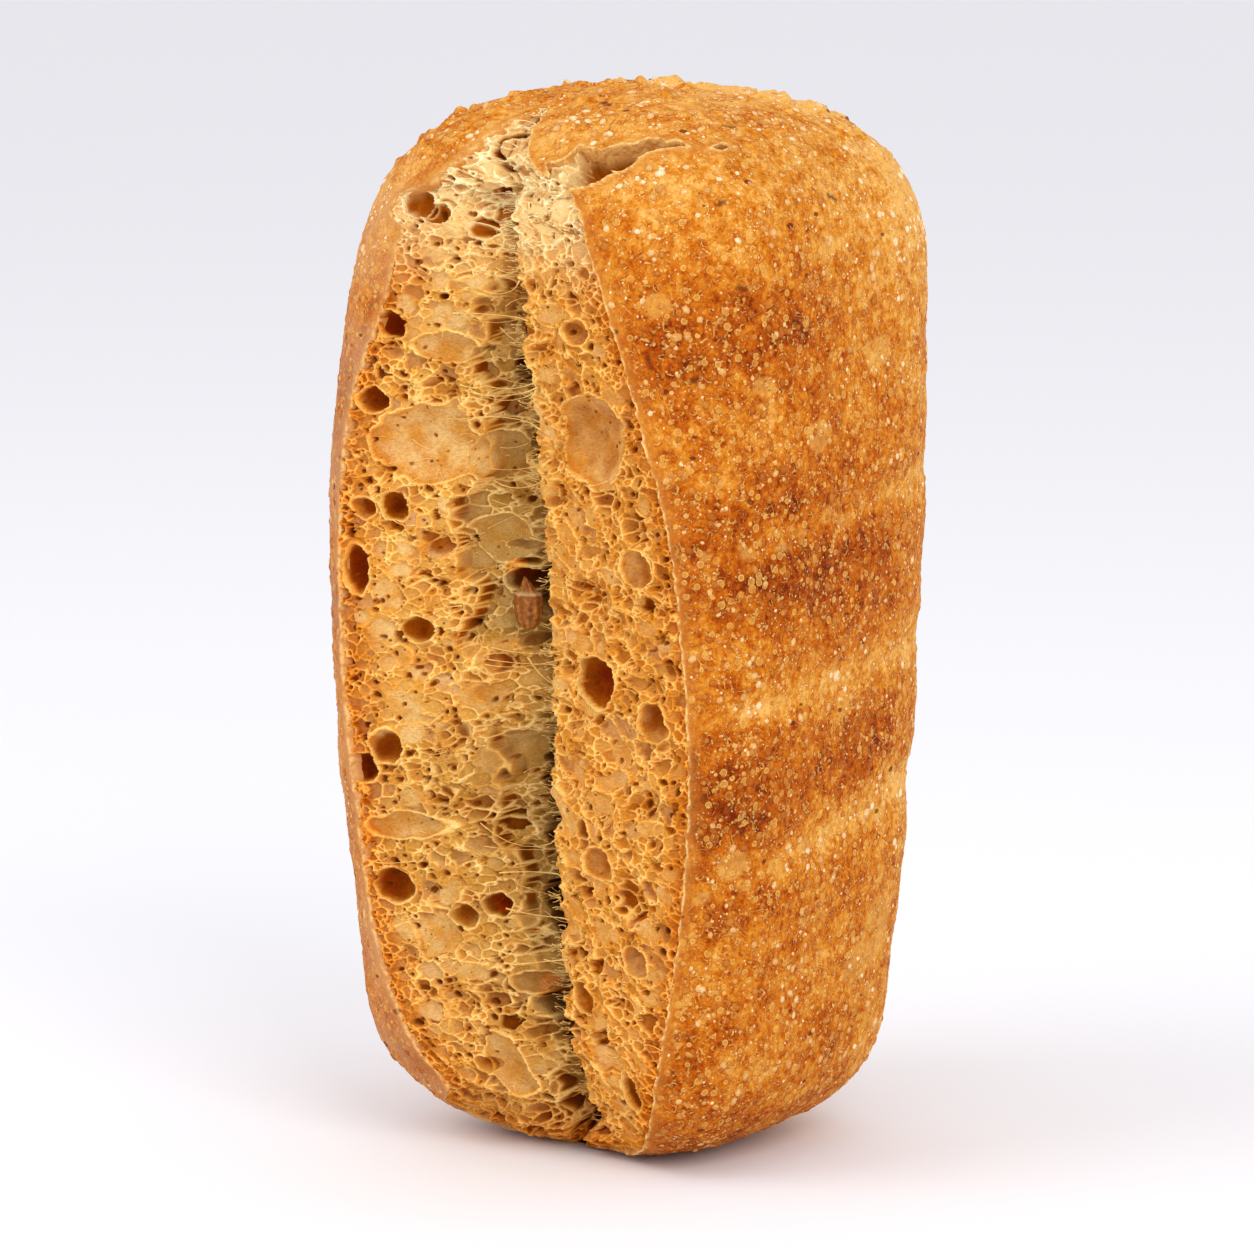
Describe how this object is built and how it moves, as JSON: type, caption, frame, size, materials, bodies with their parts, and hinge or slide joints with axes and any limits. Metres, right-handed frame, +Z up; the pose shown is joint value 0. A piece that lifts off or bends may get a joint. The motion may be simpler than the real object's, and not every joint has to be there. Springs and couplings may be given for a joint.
{
  "type": "spelt bread loaf",
  "caption": "Small tin-baked spelt loaf standing on its end, with a domed crown and one long side burst open along a crack onto open golden crumb.",
  "frame": {"origin": "middle of the loaf's outline on the surface it stands on", "axes": "+Z up along the loaf's length, -Y out of the burst side, +X towards the tin-baked side on the viewer's right"},
  "size_m": [0.102, 0.0906, 0.202],
  "materials": {
    "baked_bread": "matte baked crust and open crumb"
  },
  "bodies": {
    "root": {"loaf": "baked_bread"}
  },
  "joints": []
}
